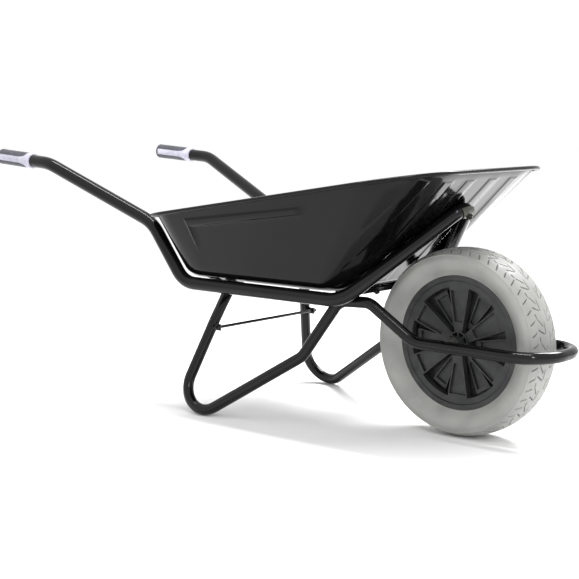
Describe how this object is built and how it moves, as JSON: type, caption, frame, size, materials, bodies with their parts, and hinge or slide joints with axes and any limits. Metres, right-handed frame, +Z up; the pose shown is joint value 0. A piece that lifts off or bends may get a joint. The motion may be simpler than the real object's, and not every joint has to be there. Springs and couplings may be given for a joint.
{
  "type": "wheelbarrow",
  "caption": "Wheelbarrow with a pressed steel tray on a bent tube frame, side legs, a front hoop guard and one free-turning foam-tyred wheel between the guard's arms.",
  "frame": {"origin": "on the ground under the centre of the overall length, between the two sides", "axes": "+X forward towards the wheel, +Y to the pusher's left, +Z up; wheel axle along Y"},
  "size_m": [1.4391, 0.5866, 0.5869],
  "materials": {
    "frame_black": "gloss black powder coat",
    "tray_black": "high gloss black paint",
    "zinc_steel": "dull zinc plate",
    "clamp_steel": "grey-green plated pressing",
    "hub_plastic": "matt black moulding",
    "rim_plastic": "satin black moulding",
    "tyre_foam": "light warm grey solid foam",
    "grip_light": "light grey hard plastic",
    "grip_dark": "dark slate soft moulding"
  },
  "bodies": {
    "frame": {"main_frame_tube": "frame_black", "right_leg_tube": "frame_black", "left_leg_tube": "frame_black", "wheel_guard_tube": "frame_black", "tray": "tray_black", "front_cross_strap": "frame_black", "rear_cross_strap": "frame_black", "tray_bolts": "zinc_steel", "tray_washers": "zinc_steel", "tray_nuts": "zinc_steel", "nose_clamp": "clamp_steel", "nose_bolt": "zinc_steel", "nose_nut": "clamp_steel", "cross_rod": "frame_black", "cross_rod_nuts": "zinc_steel", "axle": "zinc_steel", "right_axle_spacer": "hub_plastic", "left_axle_spacer": "hub_plastic", "right_grip_core": "grip_light", "right_grip_upper_pad": "grip_dark", "right_grip_lower_pad": "grip_dark", "right_grip_end_cap": "grip_dark", "left_grip_core": "grip_light", "left_grip_upper_pad": "grip_dark", "left_grip_lower_pad": "grip_dark", "left_grip_end_cap": "grip_dark"},
    "wheel": {"rim_right_half": "rim_plastic", "rim_left_half": "rim_plastic", "hub_bushes": "hub_plastic", "tyre": "tyre_foam"}
  },
  "joints": [
    {"name": "wheel_spin", "type": "hinge", "parent": "frame", "child": "wheel", "pos_m": [0.4715, 0, 0.2], "axis": [0, 1, 0], "continuous": true}
  ]
}
